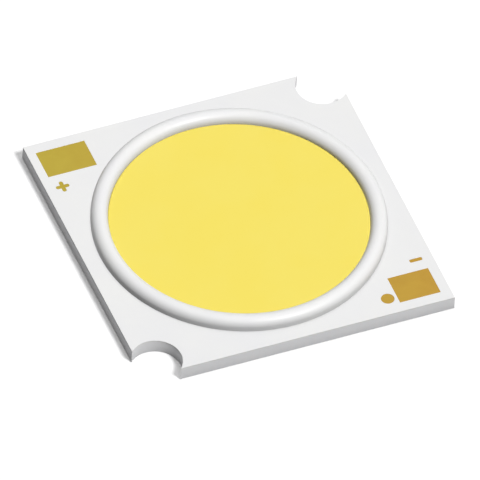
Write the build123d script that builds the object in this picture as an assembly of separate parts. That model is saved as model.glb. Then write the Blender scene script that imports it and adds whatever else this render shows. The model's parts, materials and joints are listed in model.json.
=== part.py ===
from build123d import *
from math import asin, atan2, cos, degrees, hypot, sin, sqrt, tan
import os

# Chip-on-board LED: a square metal-core board that carries strings of dies under one round
# fill of yellow phosphor silicone, held in by a white silicone dam.
#
# Millimetres, +Z up. The origin is the centre of the board's underside, which bolts flat to a
# heat sink. The anode pad is at the corner (-X, +Y) and the cathode pad at (+X, -Y). The other
# two corners have a half-round screw notch.

# Board, from the underside up
board_width = 28.0
plate_t = 1.2           # metal core
dielectric_t = 0.07     # insulation bonded to the plate
foil_t = 0.035          # copper of the circuit
cover_t = 0.025         # white solder resist above the copper
plating_t = 0.01        # nickel and gold on copper that the resist leaves bare
resist_lap = 0.08       # how far resist covers the edge of a bare pad

# Screw notches
notch_r = 2.23
notch_inset = 1.573     # of a notch's centre, from the board's edges

# Solder pads: sides along X and Y, and clear distances from the board's edges
pad_depth = 2.93
pad_inset = 0.97        # from the edge that a pad's long side faces
anode_width = 4.4
anode_inset = 0.76      # from the edge that its short side faces
cathode_width = 3.68
cathode_inset = 0.91

# Polarity marks and temperature point: centres from the board's edges and the pads
mark_stroke = 0.36
plus_length = 1.2
plus_inset = 1.5
plus_drop = 1.38        # from the anode pad's inner side
minus_length = 1.13
minus_corner_r = 0.12
minus_inset = 1.53
minus_rise = 1.2        # from the cathode pad's inner side
point_d = 1.15
point_inset = 1.73      # from the board's edge
point_gap = 0.25        # clear of the cathode pad

# Dam round the light-emitting surface, and the fill in it
dam_margin = 1.475      # from the board's edge
dam_w = 1.475
dam_h = 1.09            # crown of the dam above the board's face
fill_h = 0.29           # surface of the fill above the board's face

# Die well and bus bars
ledge_w = 0.75          # dielectric left bare inside the dam, round the well
foil_setback = 0.1      # copper kept back from the well's edge
bus_cover = 0.75        # how far a bus bar reaches outwards under the dam
bus_overrun = 0.6       # length of bus bar past the last string
feed_w = 2.0            # strip from a bus bar to its pad

# Dies
string_count = 4
dies_per_string = 9
die_w = 1.14            # along the string
die_d = 1.14
die_t = 0.15
die_clearance = 0.3     # from the well's wall
closest_pitch = 1.6     # of the dies in the two shortest strings

# Bond wires
wire_d = 0.03
loop_rise = 0.15        # crown of a loop above the bond that it starts from
bond_inset = 0.17       # from a die's edge to its bond

# Levels
z_dielectric = plate_t
z_foil = z_dielectric + dielectric_t
z_cover = z_foil + foil_t
z_face = z_cover + cover_t
z_die_top = z_dielectric + die_t

# Radii
edge = board_width / 2
les_r = edge - dam_margin - dam_w
well_r = les_r - ledge_w
bus_inner_r = well_r + foil_setback
bus_outer_r = les_r + bus_cover
land_r = (bus_inner_r + les_r) / 2      # bonds sit midway across the bare part of a bus bar
field_r = well_r - die_clearance

# Strings: the outermost two lie where the round field just holds them at the closest pitch
shortest_half = (dies_per_string - 1) * closest_pitch / 2 + die_w / 2
outer_string_y = sqrt(field_r**2 - shortest_half**2) - die_d / 2
string_pitch = 2 * outer_string_y / (string_count - 1)

# Centres of the notches, the pads and the corners' marks
notch_xy = edge - notch_inset
anode_x = -(edge - anode_inset - anode_width / 2)
anode_y = edge - pad_inset - pad_depth / 2
cathode_x = edge - cathode_inset - cathode_width / 2
cathode_y = -anode_y
plus_x = -(edge - plus_inset)
plus_y = anode_y - pad_depth / 2 - plus_drop
minus_x = edge - minus_inset
minus_y = cathode_y + pad_depth / 2 + minus_rise
point_x = cathode_x - cathode_width / 2 - point_gap - point_d / 2
point_y = -(edge - point_inset)


def slab(sketch, z, thickness):
    """A flat outline raised to height z and given a thickness."""
    return Pos(0, 0, z) * extrude(sketch, thickness)


def board_outline():
    """The square board, with a round-bottomed notch open to each of two opposite corners."""
    centre_r = hypot(notch_xy, notch_xy)
    notch = Pos(centre_r, 0) * Circle(notch_r)
    notch += Pos(centre_r + edge, 0) * Rectangle(board_width, 2 * notch_r)
    return Rectangle(board_width, board_width) - Rot(0, 0, 45) * notch - Rot(0, 0, 225) * notch


def pad_outline(x, y, width, lap=0):
    """A solder pad, or the foil that runs on under the resist all round it by a lap."""
    return Pos(x, y) * Rectangle(width + 2 * lap, pad_depth + 2 * lap)


def plus_outline():
    bar = SlotOverall(plus_length, mark_stroke)
    return Pos(plus_x, plus_y) * (bar + Rot(0, 0, 90) * bar)


def minus_outline():
    return Pos(minus_x, minus_y) * RectangleRounded(minus_length, mark_stroke, minus_corner_r)


def point_outline():
    return Pos(point_x, point_y) * Circle(point_d / 2)


def plated(bare):
    """Copper foil of a bare outline, with its plating."""
    return slab(bare, z_foil, foil_t + plating_t)


def pole(x, y, width, middle):
    """One pole's copper: a plated pad, and foil that runs on under the resist to its bus bar."""
    foil = pad_outline(x, y, width, resist_lap) + bus_and_feed(x, y, middle)
    return slab(foil, z_foil, foil_t) + plated(pad_outline(x, y, width))


def bus_bar(middle, half):
    """The curved bar that the strings end on, as far as half on both sides of its middle angle."""
    sides = [CenterArc((0, 0), r, middle - half, 2 * half) for r in (bus_inner_r, bus_outer_r)]
    ends = [Line(sides[0] @ end, sides[1] @ end) for end in (0, 1)]
    return make_face(Curve(sides + ends))


def bus_and_feed(pad_x, pad_y, middle):
    """A bus bar that reaches past the last string, and the strip from it to a pad."""
    pad_r = hypot(pad_x, pad_y)
    pad_off_middle = degrees(asin(abs(pad_y) / pad_r))
    last_string = degrees(asin(outer_string_y / land_r))
    half = max(last_string, pad_off_middle) + degrees(bus_overrun / land_r)
    feed = Pos((les_r + pad_r) / 2, 0) * Rectangle(pad_r - les_r, feed_w)
    return bus_bar(middle, half) + Rot(0, 0, degrees(atan2(pad_y, pad_x))) * feed


def solder_resist(circuits, bare_outlines):
    """The white layer: it buries the foil, and is open at the light-emitting surface and each bare outline."""
    layer_t = z_face - z_foil
    windows = [slab(bare, z_foil, layer_t) for bare in bare_outlines]
    return slab(board_outline() - Circle(les_r), z_foil, layer_t) - circuits - windows


def dam():
    """A bead of silicone with upright flanks and a full-round crown."""
    outer_r = les_r + dam_w
    z_flank = z_face + dam_h - dam_w / 2
    foot = Polyline((les_r, z_flank), (les_r, z_face), (outer_r, z_face), (outer_r, z_flank))
    crown = ThreePointArc((outer_r, z_flank), (les_r + dam_w / 2, z_face + dam_h), (les_r, z_flank))
    section = make_face(foot + crown)
    return revolve(Plane.XZ * section, Axis.Z)


def string_y(row):
    return (row - (string_count - 1) / 2) * string_pitch


def die_xs(y):
    """Centres of the dies of the string at y, spread evenly over the chord that the field has there."""
    half_chord = sqrt(field_r**2 - (abs(y) + die_d / 2) ** 2)
    reach = half_chord - die_w / 2
    return [-reach + 2 * reach * i / (dies_per_string - 1) for i in range(dies_per_string)]


def die_string(y):
    die = extrude(Rectangle(die_w, die_d), die_t)
    return [Pos(x, y, z_dielectric) * die for x in die_xs(y)]


def bond_wire(start_x, start_z, end_x, end_z, y):
    """A loop that rises off its first bond, then falls in one long run and ends as a wedge on the second."""
    way = 1 if end_x > start_x else -1
    half = wire_d / 2
    crown_z = start_z + loop_rise
    fall = atan2(crown_z - end_z, abs(end_x - start_x))
    wedge = half / sin(fall)
    mitre = half * (tan(fall) + 1 / cos(fall))
    outline = Polyline(
        (start_x - way * half, start_z),
        (start_x - way * half, crown_z + mitre),
        (end_x + way * wedge, end_z),
        (end_x - way * wedge, end_z),
        (start_x + way * half, crown_z - mitre),
        (start_x + way * half, start_z),
        close=True,
    )
    return Pos(0, y, 0) * extrude(Plane.XZ * make_face(outline), half, both=True)


def bond_wires(y):
    """One wire from each die to the next, and one from each end of the string to its bus bar."""
    xs = die_xs(y)
    bond = die_w / 2 - bond_inset
    land_x = sqrt(land_r**2 - y**2)
    wires = [bond_wire(xs[0] - bond, z_die_top, -land_x, z_cover, y)]
    for x, next_x in zip(xs, xs[1:]):
        wires.append(bond_wire(x + bond, z_die_top, next_x - bond, z_die_top, y))
    wires.append(bond_wire(xs[-1] + bond, z_die_top, land_x, z_cover, y))
    return wires


def phosphor_fill(embedded):
    """Silicone poured into the dam and the well, and set round all that stands in it."""
    pool = slab(Circle(les_r), z_foil, z_face + fill_h - z_foil)
    pool += slab(Circle(well_r), z_dielectric, dielectric_t)
    return pool - embedded


def save(shape, node):
    export_step(shape, f"parts/{node}.step")


anode_circuit = pole(anode_x, anode_y, anode_width, 180)
cathode_circuit = pole(cathode_x, cathode_y, cathode_width, 0)
circuits = [anode_circuit, cathode_circuit]
bare_outlines = [
    pad_outline(anode_x, anode_y, anode_width),
    pad_outline(cathode_x, cathode_y, cathode_width),
    plus_outline(),
    minus_outline(),
    point_outline(),
]
rows = [string_y(row) for row in range(string_count)]
dies = [die_string(y) for y in rows]
wires = [bond_wires(y) for y in rows]

os.makedirs("parts", exist_ok=True)
save(slab(board_outline(), 0, plate_t), "base_plate")
save(slab(board_outline() - Circle(well_r), z_dielectric, dielectric_t), "dielectric_layer")
save(anode_circuit, "anode_circuit")
save(cathode_circuit, "cathode_circuit")
save(plated(plus_outline()), "plus_mark")
save(plated(minus_outline()), "minus_mark")
save(plated(point_outline()), "case_temperature_point")
save(solder_resist(circuits, bare_outlines), "solder_resist")
save(dam(), "dam")
save(phosphor_fill(circuits + sum(dies, []) + sum(wires, [])), "phosphor_fill")
for number, (string, loops) in enumerate(zip(dies, wires), start=1):
    save(Compound(string), f"die_string_{number}")
    save(Compound(loops), f"bond_wires_{number}")
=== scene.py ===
import json
from math import acos, cos, degrees, exp, pi, radians, sin, sqrt

import bmesh
import bpy
from mathutils import Matrix, Vector


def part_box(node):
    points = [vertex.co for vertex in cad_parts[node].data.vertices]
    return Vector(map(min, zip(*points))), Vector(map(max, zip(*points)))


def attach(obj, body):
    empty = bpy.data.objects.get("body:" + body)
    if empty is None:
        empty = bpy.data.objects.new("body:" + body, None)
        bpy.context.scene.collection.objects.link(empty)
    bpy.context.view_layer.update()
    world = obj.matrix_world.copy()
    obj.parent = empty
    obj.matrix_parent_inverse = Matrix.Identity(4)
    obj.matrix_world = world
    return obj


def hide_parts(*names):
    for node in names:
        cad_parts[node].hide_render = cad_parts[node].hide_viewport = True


# The finish of a chip-on-board LED: a square metal-core board with a white mask, a white
# silicone dam and a round yellow fill. Metres, in the frame of the solid parts.

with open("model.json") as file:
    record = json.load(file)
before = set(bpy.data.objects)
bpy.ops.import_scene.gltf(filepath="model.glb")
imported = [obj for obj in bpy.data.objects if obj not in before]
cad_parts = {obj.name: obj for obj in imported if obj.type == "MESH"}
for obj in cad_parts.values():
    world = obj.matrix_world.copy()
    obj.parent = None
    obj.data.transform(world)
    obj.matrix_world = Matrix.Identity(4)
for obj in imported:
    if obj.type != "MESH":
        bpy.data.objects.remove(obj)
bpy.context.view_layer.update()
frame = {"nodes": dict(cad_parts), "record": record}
nodes = frame["nodes"]
record = frame["record"]
mm = 0.001

# Sizes that the solid parts give
plate_low, plate_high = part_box("base_plate")
layer_low, layer_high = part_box("dielectric_layer")
mask_low, mask_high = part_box("solder_resist")
dam_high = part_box("dam")[1]
fill_low, fill_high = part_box("phosphor_fill")
notch = next(mount for mount in record["mounts"] if mount["name"] == "screw_notch_1")
notch_r = notch["dims"]["r_mm"] * mm
notch_xy = notch["pos_m"][0]
half_side = plate_high.x
face_z = mask_high.z
fill_r = fill_high.x
fill_z = fill_high.z
dam_outer_r = dam_high.x
dam_mid_r = (fill_r + dam_outer_r) / 2

# Sizes of the finish
edge_break = 0.035 * mm        # rounding of the plate's cut edges
layer_break = 0.004 * mm       # rounding of the insulation's edges
mask_break = 0.008 * mm        # rounding of the mask's printed edges
plating_break = 0.012 * mm     # rounding of plated edges
mark_stroke = 0.36 * mm        # width of the plus mark's bars
minus_corner_r = 0.12 * mm
well_r = 10.3 * mm             # window of the insulation, which the fill goes down through
crease_depth = 0.04 * mm       # how far the fill dips where it meets the dam
crease_reach = 0.025 * mm      # how far from the dam that dip is felt
bounce_share = 0.15            # of the light that white and yellow throw on their neighbours

# Fineness of the meshes
turn_steps = 360               # round the dam, the fill and the windows for the fill
arc_steps = 64                 # in a notch, in the dam's crown and round a small circle
surface_rings = 30             # of the fill's surface, from the middle to the dam
merge_gap = 0.0004 * mm        # points closer than this are one
same_level = 0.001 * mm        # heights closer than this are one level
sharp_angle = 40               # degrees past which an edge stays sharp
upright = 0.9999               # share of a normal along Z past which a face is level


# Node helpers

def give(tree, socket, value):
    """Links another node's output to a socket, or sets the socket to a plain value."""
    if isinstance(value, bpy.types.NodeSocket):
        tree.links.new(value, socket)
    else:
        socket.default_value = value


def add_node(tree, kind, **inputs):
    """A node of a kind, with its inputs by title. Where titles repeat, at_2 is the input in place 2."""
    node = tree.nodes.new(kind)
    for key, value in inputs.items():
        socket = int(key[3:]) if key.startswith("at_") else key.replace("_", " ")
        give(tree, node.inputs[socket], value)
    return node


def maths(tree, operation, *values):
    node = tree.nodes.new("ShaderNodeMath")
    node.operation = operation
    for socket, value in zip(node.inputs, values):
        give(tree, socket, value)
    return node.outputs[0]


def map_range(tree, value, low=0.0, high=1.0, to_low=0.0, to_high=1.0):
    """A value that runs from low to high, put on the range from to_low to to_high and held to it."""
    node = add_node(tree, "ShaderNodeMapRange", Value=value, From_Min=low, From_Max=high,
                    To_Min=to_low, To_Max=to_high)
    return node.outputs["Result"]


def blend_colours(tree, share, first, second, way="MIX"):
    node = tree.nodes.new("ShaderNodeMix")
    node.data_type = "RGBA"
    node.blend_type = way
    sockets = [socket for socket in node.inputs if socket.enabled]
    for socket, value in zip(sockets, (share, first, second)):
        give(tree, socket, value)
    return next(socket for socket in node.outputs if socket.enabled)


def object_place(tree):
    """Where a point lies on the object, in metres."""
    return tree.nodes.new("ShaderNodeTexCoord").outputs["Object"]


def seen_directly(tree):
    """1 on a ray that shows a thing straight, in a reflection or through glass, and 0 on others."""
    rays = tree.nodes.new("ShaderNodeLightPath").outputs
    passed_on = maths(tree, "MAXIMUM", rays["Is Glossy Ray"], rays["Is Transmission Ray"])
    return maths(tree, "MAXIMUM", rays["Is Camera Ray"], passed_on)


def srgb(red, green, blue):
    """A colour given as it looks on a screen, from 0 to 255, as the linear values that nodes take."""
    def linear(level):
        level /= 255
        return level / 12.92 if level <= 0.04045 else ((level + 0.055) / 1.055) ** 2.4
    return (linear(red), linear(green), linear(blue), 1.0)


def new_group(name, inputs, outputs):
    """An empty shader group: its inputs with their usual values, and its outputs with their kinds."""
    group = bpy.data.node_groups.new(name, "ShaderNodeTree")
    for title, value in inputs.items():
        kind = "NodeSocketColor" if isinstance(value, tuple) else "NodeSocketFloat"
        group.interface.new_socket(title, in_out="INPUT", socket_type=kind).default_value = value
    for title, kind in outputs.items():
        group.interface.new_socket(title, in_out="OUTPUT", socket_type=kind)
    given = group.nodes.new("NodeGroupInput").outputs
    results = group.nodes.new("NodeGroupOutput").inputs
    return group, given, results


def place_group(tree, group, **values):
    node = tree.nodes.new("ShaderNodeGroup")
    node.node_tree = group
    for title, value in values.items():
        give(tree, node.inputs[title.replace("_", " ")], value)
    return node.outputs


# Shared effects

def make_tone_drift():
    """Slow change of a colour from place to place, with fine specks over it."""
    group, given, results = new_group(
        "tone drift",
        {"Colour": (1, 1, 1, 1), "Other colour": (1, 1, 1, 1), "Patch scale": 100.0,
         "Speck scale": 9000.0, "Speck strength": 0.1},
        {"Colour": "NodeSocketColor", "Mask": "NodeSocketFloat"},
    )
    place = object_place(group)
    patches = add_node(group, "ShaderNodeTexNoise", Vector=place, Scale=given["Patch scale"],
                       Detail=3.0, Roughness=0.5).outputs["Fac"]
    specks = add_node(group, "ShaderNodeTexNoise", Vector=place, Scale=given["Speck scale"],
                      Detail=2.0, Roughness=0.6).outputs["Fac"]
    spot = maths(group, "MULTIPLY", maths(group, "SUBTRACT", specks, 0.5), given["Speck strength"])
    share = maths(group, "ADD", map_range(group, patches, low=0.35, high=0.65), spot)
    mask = add_node(group, "ShaderNodeClamp", Value=share).outputs["Result"]
    colour = blend_colours(group, mask, given["Colour"], given["Other colour"])
    give(group, results["Colour"], colour)
    give(group, results["Mask"], mask)
    return group


def make_fine_grain():
    """Height of a fine, even grain, as on cured silicone, printed ink or plating."""
    group, given, results = new_group(
        "fine grain",
        {"Grain scale": 8000.0, "Wave scale": 900.0, "Wave share": 0.5},
        {"Height": "NodeSocketFloat"},
    )
    place = object_place(group)
    grain = add_node(group, "ShaderNodeTexNoise", Vector=place, Scale=given["Grain scale"],
                     Detail=4.0, Roughness=0.55).outputs["Fac"]
    waves = add_node(group, "ShaderNodeTexNoise", Vector=place, Scale=given["Wave scale"],
                     Detail=1.0, Roughness=0.4).outputs["Fac"]
    height = add_node(group, "ShaderNodeMix", at_0=given["Wave share"], at_2=grain, at_3=waves)
    give(group, results["Height"], height.outputs[0])
    return group


def make_drawn_lines():
    """Height of fine lines that a tool or a roller left, by the scale along each axis."""
    group, given, results = new_group(
        "drawn lines",
        {"Scale X": 400.0, "Scale Y": 8000.0, "Scale Z": 8000.0},
        {"Height": "NodeSocketFloat"},
    )
    scales = add_node(group, "ShaderNodeCombineXYZ", X=given["Scale X"], Y=given["Scale Y"],
                      Z=given["Scale Z"])
    stretched = add_node(group, "ShaderNodeVectorMath", at_0=object_place(group), at_1=scales.outputs[0])
    stretched.operation = "MULTIPLY"
    lines = add_node(group, "ShaderNodeTexNoise", Vector=stretched.outputs[0], Scale=1.0,
                     Detail=5.0, Roughness=0.7)
    give(group, results["Height"], lines.outputs["Fac"])
    return group


tone_drift = make_tone_drift()
fine_grain = make_fine_grain()
drawn_lines = make_drawn_lines()


# Materials

def new_material(name, **uniform):
    """A material with its surface shader, and the values that are the same all over it."""
    material = bpy.data.materials.new(name)
    material.use_nodes = True
    tree = material.node_tree
    shader = tree.nodes["Principled BSDF"]
    for title, value in uniform.items():
        shader.inputs[title.replace("_", " ")].default_value = value
    return material, tree, shader


def feed(tree, shader, **sources):
    """Links what changes over the surface to the shader."""
    for title, source in sources.items():
        tree.links.new(source, shader.inputs[title.replace("_", " ")])


def height_to_normal(tree, height, depth):
    bump = add_node(tree, "ShaderNodeBump", Height=height, Distance=depth, Strength=1.0)
    return bump.outputs["Normal"]


def roughness_range(tree, mask, smooth, rough):
    return map_range(tree, mask, to_low=smooth, to_high=rough)


def dim_bounce(tree, colour):
    """The colour as it is. Of the light that it throws on its neighbours, only a share is kept."""
    bounced = tree.nodes.new("ShaderNodeLightPath").outputs["Is Diffuse Ray"]
    kept = (bounce_share, bounce_share, bounce_share, 1)
    return blend_colours(tree, bounced, colour, kept, "MULTIPLY")


def printed_mask():
    """Fine matt white print."""
    material, tree, shader = new_material("white solder mask", IOR=1.45)
    tone = place_group(tree, tone_drift, Colour=srgb(238, 238, 239), Other_colour=srgb(241, 241, 240),
                       Patch_scale=160.0, Speck_scale=14000.0, Speck_strength=0.5)
    grain = place_group(tree, fine_grain, Grain_scale=16000.0, Wave_scale=2200.0, Wave_share=0.35)
    feed(tree, shader, Base_Color=dim_bounce(tree, tone["Colour"]),
         Roughness=roughness_range(tree, tone["Mask"], smooth=0.56, rough=0.66),
         Normal=height_to_normal(tree, grain["Height"], depth=0.001 * mm))
    return material


def cured_silicone():
    """White satin silicone of the dam."""
    material, tree, shader = new_material("white silicone", IOR=1.5)
    tone = place_group(tree, tone_drift, Colour=srgb(239, 239, 240), Other_colour=srgb(242, 242, 241),
                       Patch_scale=220.0, Speck_scale=12000.0, Speck_strength=0.35)
    grain = place_group(tree, fine_grain, Grain_scale=9000.0, Wave_scale=700.0, Wave_share=0.7)
    feed(tree, shader, Base_Color=dim_bounce(tree, tone["Colour"]),
         Roughness=roughness_range(tree, tone["Mask"], smooth=0.38, rough=0.44),
         Normal=height_to_normal(tree, grain["Height"], depth=0.002 * mm))
    return material


def phosphor_silicone():
    """Yellow silicone, cloudy with phosphor powder."""
    material, tree, shader = new_material("yellow phosphor silicone", IOR=1.42)
    tone = place_group(tree, tone_drift, Colour=srgb(248, 228, 101), Other_colour=srgb(248, 229, 106),
                       Patch_scale=260.0, Speck_scale=22000.0, Speck_strength=1.1)
    grain = place_group(tree, fine_grain, Grain_scale=20000.0, Wave_scale=600.0, Wave_share=0.4)
    feed(tree, shader, Base_Color=dim_bounce(tree, tone["Colour"]),
         Roughness=roughness_range(tree, tone["Mask"], smooth=0.46, rough=0.54),
         Normal=height_to_normal(tree, grain["Height"], depth=0.004 * mm))
    return material


def plated_gold():
    """Satin gold plate: greener at the anode's side, warmer at the cathode's."""
    material, tree, shader = new_material("plated gold", Metallic=1.0)
    along = add_node(tree, "ShaderNodeSeparateXYZ", Vector=object_place(tree)).outputs["X"]
    side = map_range(tree, along, low=-half_side, high=half_side)
    plain = blend_colours(tree, side, srgb(190, 171, 70), srgb(196, 156, 67))
    deep = blend_colours(tree, side, srgb(185, 165, 67), srgb(190, 150, 65))
    tone = place_group(tree, tone_drift, Colour=plain, Other_colour=deep, Patch_scale=450.0,
                       Speck_scale=15000.0, Speck_strength=0.5)
    grain = place_group(tree, fine_grain, Grain_scale=14000.0, Wave_scale=1800.0, Wave_share=0.4)
    feed(tree, shader, Base_Color=tone["Colour"],
         Roughness=roughness_range(tree, tone["Mask"], smooth=0.38, rough=0.50),
         Normal=height_to_normal(tree, grain["Height"], depth=0.002 * mm))
    return material


def sawn_aluminium():
    """Mill-finish aluminium: rolled faces, and sides with the upright marks of the cut."""
    material, tree, shader = new_material("aluminium core", Metallic=0.06)
    tone = place_group(tree, tone_drift, Colour=srgb(240, 240, 241), Other_colour=srgb(236, 236, 238),
                       Patch_scale=300.0, Speck_scale=9000.0, Speck_strength=0.5)
    lines = place_group(tree, drawn_lines, Scale_X=14000.0, Scale_Y=14000.0, Scale_Z=500.0)
    feed(tree, shader, Base_Color=tone["Colour"],
         Roughness=roughness_range(tree, lines["Height"], smooth=0.40, rough=0.60),
         Normal=height_to_normal(tree, lines["Height"], depth=0.004 * mm))
    return material


def filled_epoxy():
    """Pale filled epoxy of the insulation."""
    material, tree, shader = new_material("dielectric epoxy", IOR=1.5)
    tone = place_group(tree, tone_drift, Colour=srgb(240, 240, 237), Other_colour=srgb(234, 234, 230),
                       Patch_scale=1500.0, Speck_scale=20000.0, Speck_strength=0.8)
    grain = place_group(tree, fine_grain, Grain_scale=20000.0, Wave_scale=4000.0, Wave_share=0.3)
    feed(tree, shader, Base_Color=tone["Colour"],
         Roughness=roughness_range(tree, tone["Mask"], smooth=0.55, rough=0.70),
         Normal=height_to_normal(tree, grain["Height"], depth=0.003 * mm))
    return material


def sapphire():
    """Pale blue crystal with the metal fingers of its contacts."""
    material, tree, shader = new_material("sapphire die", IOR=1.76)
    bands = add_node(tree, "ShaderNodeTexWave", Vector=object_place(tree), Scale=1400.0, Distortion=0.0)
    bands.bands_direction = "Y"
    fingers = map_range(tree, bands.outputs["Fac"], low=0.92, high=0.97)
    tone = place_group(tree, tone_drift, Colour=srgb(178, 204, 222), Other_colour=srgb(160, 192, 214),
                       Patch_scale=2500.0, Speck_scale=30000.0, Speck_strength=0.3)
    colour = blend_colours(tree, fingers, tone["Colour"], srgb(214, 190, 120))
    feed(tree, shader, Base_Color=colour, Metallic=fingers,
         Roughness=roughness_range(tree, tone["Mask"], smooth=0.12, rough=0.22))
    return material


def drawn_gold():
    """Bright drawn gold of the bond wires."""
    material, tree, shader = new_material("gold wire", Metallic=1.0)
    tone = place_group(tree, tone_drift, Colour=srgb(236, 200, 104), Other_colour=srgb(226, 186, 88),
                       Patch_scale=4000.0, Speck_scale=40000.0, Speck_strength=0.3)
    lines = place_group(tree, drawn_lines, Scale_X=2000.0, Scale_Y=60000.0, Scale_Z=60000.0)
    feed(tree, shader, Base_Color=tone["Colour"],
         Roughness=roughness_range(tree, tone["Mask"], smooth=0.15, rough=0.25),
         Normal=height_to_normal(tree, lines["Height"], depth=0.001 * mm))
    return material


finishes = {
    "metal_core": sawn_aluminium(),
    "dielectric": filled_epoxy(),
    "white_resist": printed_mask(),
    "plated_copper": plated_gold(),
    "white_silicone": cured_silicone(),
    "phosphor_silicone": phosphor_silicone(),
    "sapphire_die": sapphire(),
    "gold_wire": drawn_gold(),
}


# Mesh helpers

def add_object(name, data):
    thing = bpy.data.objects.new(name, data)
    bpy.context.scene.collection.objects.link(thing)
    return thing


def made_plain(source):
    """The shape that an object shows, as a plain mesh. The object itself is removed."""
    evaluated = source.evaluated_get(bpy.context.evaluated_depsgraph_get())
    mesh = bpy.data.meshes.new_from_object(evaluated)
    source.modifiers.clear()
    bpy.data.objects.remove(source)
    return mesh


def shade(mesh):
    """Smooth shading, but sharp edges stay sharp and level faces stay flat."""
    mesh.shade_smooth()
    mesh.set_sharp_from_angle(angle=radians(sharp_angle))
    for face in mesh.polygons:
        if abs(face.normal.z) > upright:
            face.use_smooth = False


def make_piece(name, mesh):
    """A piece from a mesh, with its doubles merged and its faces turned outwards."""
    work = bmesh.new()
    work.from_mesh(mesh)
    bmesh.ops.remove_doubles(work, verts=work.verts, dist=merge_gap)
    bmesh.ops.recalc_face_normals(work, faces=work.faces)
    work.to_mesh(mesh)
    work.free()
    shade(mesh)
    mesh.name = name
    return add_object(name, mesh)


def polar(centre, radius, angle):
    """The point at a distance from a centre, at an angle in degrees."""
    turn = radians(angle)
    return (centre[0] + radius * cos(turn), centre[1] + radius * sin(turn))


def arc(centre, radius, start, end, steps):
    """Points on an arc, with angles in degrees."""
    return [polar(centre, radius, start + (end - start) * i / steps) for i in range(steps + 1)]


# Flat pieces, cut from an outline

def middle(low, high):
    """The middle of a box, seen from above."""
    return ((low.x + high.x) / 2, (low.y + high.y) / 2)


def circle(centre, radius, steps):
    return arc(centre, radius, 0, 360, steps)[:-1]


def rectangle(low, high):
    return [(low.x, low.y), (high.x, low.y), (high.x, high.y), (low.x, high.y)]


def board_outline():
    """The square with a round-bottomed notch at the corners (+X, +Y) and (-X, -Y)."""
    meets_edge = degrees(acos((half_side - notch_xy) / notch_r))
    bottom = arc((notch_xy, notch_xy), notch_r, -meets_edge, meets_edge - 270, arc_steps)
    half = [(half_side, -half_side)] + bottom
    return half + [(-x, -y) for x, y in half]


def rounded_bar(low, high, corner_r):
    """A bar that fills a box, with rounded corners."""
    corners = [(0, high.x, high.y), (90, low.x, high.y), (180, low.x, low.y), (270, high.x, low.y)]
    points = []
    for turn, x, y in corners:
        inset_x = corner_r if x == low.x else -corner_r
        inset_y = corner_r if y == low.y else -corner_r
        points += arc((x + inset_x, y + inset_y), corner_r, turn, turn + 90, arc_steps // 4)
    return points


def plus_outline(low, high, stroke):
    """Two crossed bars with round ends, as one outline."""
    centre = middle(low, high)
    tip_r = stroke / 2
    reach = (high.x - low.x) / 2 - tip_r
    points = []
    for turn in (0, 90, 180, 270):
        tip = polar(centre, reach, turn)
        points += arc(tip, tip_r, turn - 90, turn + 90, arc_steps // 2)
        points.append(polar(centre, tip_r * sqrt(2), turn + 45))     # where two bars meet
    return points


def cut_sheet(name, outline, holes, low_z, high_z, rounding):
    """A flat piece between two heights, cut to an outline with holes, with its edges broken."""
    curve = bpy.data.curves.new(name, "CURVE")
    curve.dimensions = "2D"
    curve.fill_mode = "BOTH"
    curve.extrude = (high_z - low_z) / 2 - rounding
    curve.bevel_depth = rounding
    curve.bevel_resolution = 2
    curve.offset = -rounding
    for points in [outline] + holes:
        spline = curve.splines.new("POLY")
        spline.points.add(len(points) - 1)
        for point, (x, y) in zip(spline.points, points):
            point.co = (x, y, 0, 1)
        spline.use_cyclic_u = True
    mesh = made_plain(add_object(name + "_curve", curve))
    mesh.transform(Matrix.Translation((0, 0, (low_z + high_z) / 2)))
    return make_piece(name, mesh)


# Round pieces, turned from a section

def turning_tree():
    """Turns the section that an object holds about the board's centre line."""
    tree = bpy.data.node_groups.new("turned from a section", "GeometryNodeTree")
    for title, kind in [("Geometry", "Geometry"), ("Guide radius", "Float"), ("Steps round", "Int"),
                        ("Finish", "Material")]:
        tree.interface.new_socket(title, in_out="INPUT", socket_type="NodeSocket" + kind)
    tree.interface.new_socket("Geometry", in_out="OUTPUT", socket_type="NodeSocketGeometry")
    given = tree.nodes.new("NodeGroupInput").outputs
    results = tree.nodes.new("NodeGroupOutput").inputs
    back = add_node(tree, "ShaderNodeCombineXYZ", X=maths(tree, "MULTIPLY", given["Guide radius"], -1.0))
    section = add_node(tree, "GeometryNodeMeshToCurve", Mesh=given["Geometry"])
    centred = add_node(tree, "GeometryNodeTransform", Geometry=section.outputs["Curve"],
                       Translation=back.outputs[0])
    guide = add_node(tree, "GeometryNodeCurvePrimitiveCircle", Resolution=given["Steps round"],
                     Radius=given["Guide radius"])
    turned = add_node(tree, "GeometryNodeCurveToMesh", Curve=guide.outputs["Curve"],
                      Profile_Curve=centred.outputs["Geometry"])
    joined = add_node(tree, "GeometryNodeMergeByDistance", Geometry=turned.outputs["Mesh"],
                      Distance=merge_gap)
    smooth = add_node(tree, "GeometryNodeSetShadeSmooth", Geometry=joined.outputs["Geometry"])
    real = add_node(tree, "GeometryNodeRealizeInstances", Geometry=smooth.outputs["Geometry"])
    coated = add_node(tree, "GeometryNodeSetMaterial", Geometry=real.outputs["Geometry"],
                      Material=given["Finish"])
    give(tree, results["Geometry"], coated.outputs["Geometry"])
    return tree


turning = turning_tree()


def set_input(modifier, title, value):
    sockets = modifier.node_group.interface.items_tree
    socket = next(s for s in sockets if s.name == title and s.in_out == "INPUT")
    modifier[socket.identifier] = value


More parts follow.
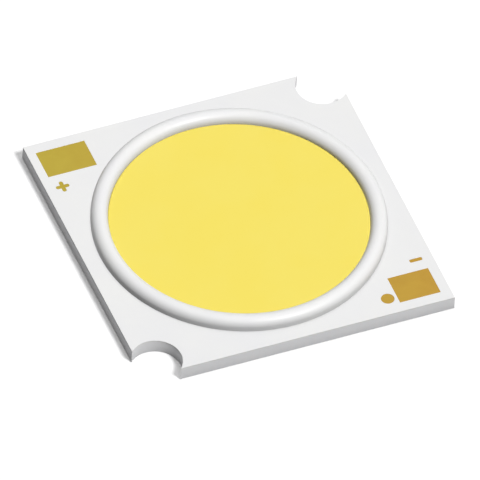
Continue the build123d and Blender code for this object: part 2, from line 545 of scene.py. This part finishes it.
def turn_section(name, section, guide_r, finish):
    """A round piece. Its section is closed, or begins and ends on the centre line."""
    work = bmesh.new()
    verts = [work.verts.new((r, -z, 0)) for r, z in section]     # a profile's Y lies downwards
    for a, b in zip(verts, verts[1:]):
        work.edges.new((a, b))
    if section[0][0] > 0:
        work.edges.new((verts[-1], verts[0]))
    mesh = bpy.data.meshes.new(name + "_section")
    work.to_mesh(mesh)
    work.free()
    source = add_object(name + "_section", mesh)
    modifier = source.modifiers.new("turning", "NODES")
    modifier.node_group = turning
    set_input(modifier, "Guide radius", guide_r)
    set_input(modifier, "Steps round", turn_steps)
    set_input(modifier, "Finish", finish)
    return make_piece(name, made_plain(source))


def dam_section():
    """Upright flanks under a full-round crown."""
    crown_r = (dam_outer_r - fill_r) / 2
    crown = arc((dam_mid_r, dam_high.z - crown_r), crown_r, 0, 180, arc_steps)
    return [(dam_outer_r, face_z)] + crown + [(fill_r, face_z)]


def fill_section():
    """A level pool with a fine crease round it at the dam, down to the well in the insulation."""
    surface = []
    for ring in range(surface_rings + 1):
        from_dam = fill_r * (1 - ring / surface_rings) ** 3      # the rings draw together at the dam
        surface.append((fill_r - from_dam, fill_z - crease_depth * exp(-from_dam / crease_reach)))
    floor = [(fill_r, layer_high.z), (well_r, layer_high.z), (well_r, fill_low.z), (0, fill_low.z)]
    return surface + floor


# Pieces

def top_face(node):
    """Lowest and highest corner of a node's top face."""
    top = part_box(node)[1].z
    points = [v.co for v in nodes[node].data.vertices if v.co.z > top - same_level]
    low = Vector((min(p.x for p in points), min(p.y for p in points), top))
    high = Vector((max(p.x for p in points), max(p.y for p in points), top))
    return low, high


def dress(piece, slot, *stands_for):
    """Gives a piece its finish, hangs it from the root body and hides the solid parts that it stands for."""
    piece.data.materials.clear()
    piece.data.materials.append(finishes[slot])
    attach(piece, "root")
    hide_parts(*stands_for)


plus_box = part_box("plus_mark")
minus_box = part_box("minus_mark")
point_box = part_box("case_temperature_point")
point_r = (point_box[1].x - point_box[0].x) / 2
plus_shape = plus_outline(*plus_box, mark_stroke)
minus_shape = rounded_bar(*minus_box, minus_corner_r)
point_shape = circle(middle(*point_box), point_r, arc_steps)

plate = cut_sheet("plate", board_outline(), [], plate_low.z, plate_high.z, edge_break)
dress(plate, "metal_core", "base_plate")

well = circle((0, 0), well_r, turn_steps)
insulation = cut_sheet("insulation", board_outline(), [well], layer_low.z, layer_high.z, layer_break)
dress(insulation, "dielectric", "dielectric_layer")

windows = [circle((0, 0), fill_r, turn_steps), rectangle(*top_face("anode_circuit")),
           rectangle(*top_face("cathode_circuit")), plus_shape, minus_shape, point_shape]
mask = cut_sheet("mask", board_outline(), windows, mask_low.z, mask_high.z, mask_break)
dress(mask, "white_resist", "solder_resist")

for name, shape, box, node in [("plus", plus_shape, plus_box, "plus_mark"),
                               ("minus", minus_shape, minus_box, "minus_mark"),
                               ("test_point", point_shape, point_box, "case_temperature_point")]:
    dress(cut_sheet(name, shape, [], box[0].z, box[1].z, plating_break), "plated_copper", node)

dam = turn_section("silicone_dam", dam_section(), dam_mid_r, finishes["white_silicone"])
dress(dam, "white_silicone", "dam")

fill = turn_section("light_surface", fill_section(), fill_r, finishes["phosphor_silicone"])
dress(fill, "phosphor_silicone", "phosphor_fill")

# The circuits, the dies and the bond wires stay the solid parts, with a finish
slots = {part["node"]: part["material_slot"] for part in record["subparts"]}
for name, node in nodes.items():
    if not node.hide_render:
        for place in node.material_slots:
            place.material = finishes[slots[name]]


# Floor, light and camera

def make_floor():
    """A white floor. What it throws back on the object is kept low, as in a wide studio."""
    half = 0.6
    gap = 0.01 * mm                           # below the plate
    white = (1, 1, 1, 1)
    thrown_back = (0.27, 0.27, 0.27, 1)
    glow = 0.1                                # lifts the lit floor to full white for the eye
    z = plate_low.z - gap
    mesh = bpy.data.meshes.new("floor")
    mesh.from_pydata([(-half, -half, z), (half, -half, z), (half, half, z), (-half, half, z)], [],
                     [(0, 1, 2, 3)])
    floor = add_object("floor", mesh)
    material, tree, shader = new_material("studio floor", Roughness=1.0, IOR=1.0, Emission_Color=white)
    seen = seen_directly(tree)
    feed(tree, shader, Base_Color=blend_colours(tree, seen, thrown_back, white),
         Emission_Strength=maths(tree, "MULTIPLY", seen, glow))
    mesh.materials.append(material)


def make_studio(level):
    """An even dim surround. Seen directly or in a reflection, it is white."""
    world = bpy.data.worlds.new("studio")
    world.use_nodes = True
    bpy.context.scene.world = world
    tree = world.node_tree
    shown = blend_colours(tree, seen_directly(tree), (level, level, level, 1), (1, 1, 1, 1))
    tree.links.new(shown, tree.nodes["Background"].inputs["Color"])


def make_sun(name, bearing, height, level, spread):
    """A soft lamp, by the angles it stands at. At a level of 1 it fully lights a white face turned to it."""
    bearing, height = radians(bearing), radians(height)
    towards = Vector((cos(bearing) * cos(height), sin(bearing) * cos(height), sin(height)))
    lamp = bpy.data.lights.new(name, "SUN")
    lamp.energy = level * pi
    lamp.angle = radians(spread)
    holder = add_object(name, lamp)
    holder.rotation_euler = towards.to_track_quat("Z", "Y").to_euler()
    return holder


def spare_shadow(lamp, piece):
    """Lets a lamp throw no shadow of one piece. Everything else still throws its own."""
    spared = bpy.data.collections.new(f"no shadow from {lamp.name}")
    spared.objects.link(piece)
    lamp.light_linking.blocker_collection = spared
    for linked in spared.collection_objects:
        linked.light_linking.link_state = "EXCLUDE"


def make_camera():
    """A parallel view from above and a little left of the board's front side, turned slightly."""
    azimuth, elevation, roll = -24.592, 46.94, 3.931
    right_shift, down_shift = 0.0850 * mm, 1.4855 * mm     # of the picture's middle off the board's
    picture_width = 40.3533 * mm
    distance = 0.3
    turn = (Matrix.Rotation(radians(azimuth), 3, "Z") @ Matrix.Rotation(radians(90 - elevation), 3, "X")
            @ Matrix.Rotation(radians(roll), 3, "Z"))
    stand = Vector((0, 0, face_z)) + turn @ Vector((right_shift, -down_shift, distance))
    data = bpy.data.cameras.new("camera")
    data.type = "ORTHO"
    data.ortho_scale = picture_width
    data.clip_start = 0.001
    data.clip_end = 10
    camera = add_object("camera", data)
    camera.matrix_world = Matrix.Translation(stand) @ turn.to_4x4()
    bpy.context.scene.camera = camera


make_floor()
make_studio(level=0.04)
key = make_sun("key", bearing=297, height=55, level=0.705, spread=14)
spare_shadow(key, dam)      # the board beside the dam stays evenly white
overhead = make_sun("overhead", bearing=75, height=79, level=0.365, spread=45)
overhead.visible_glossy = False     # kept out of what the gold reflects
make_camera()
bpy.context.scene.view_settings.view_transform = "Standard"
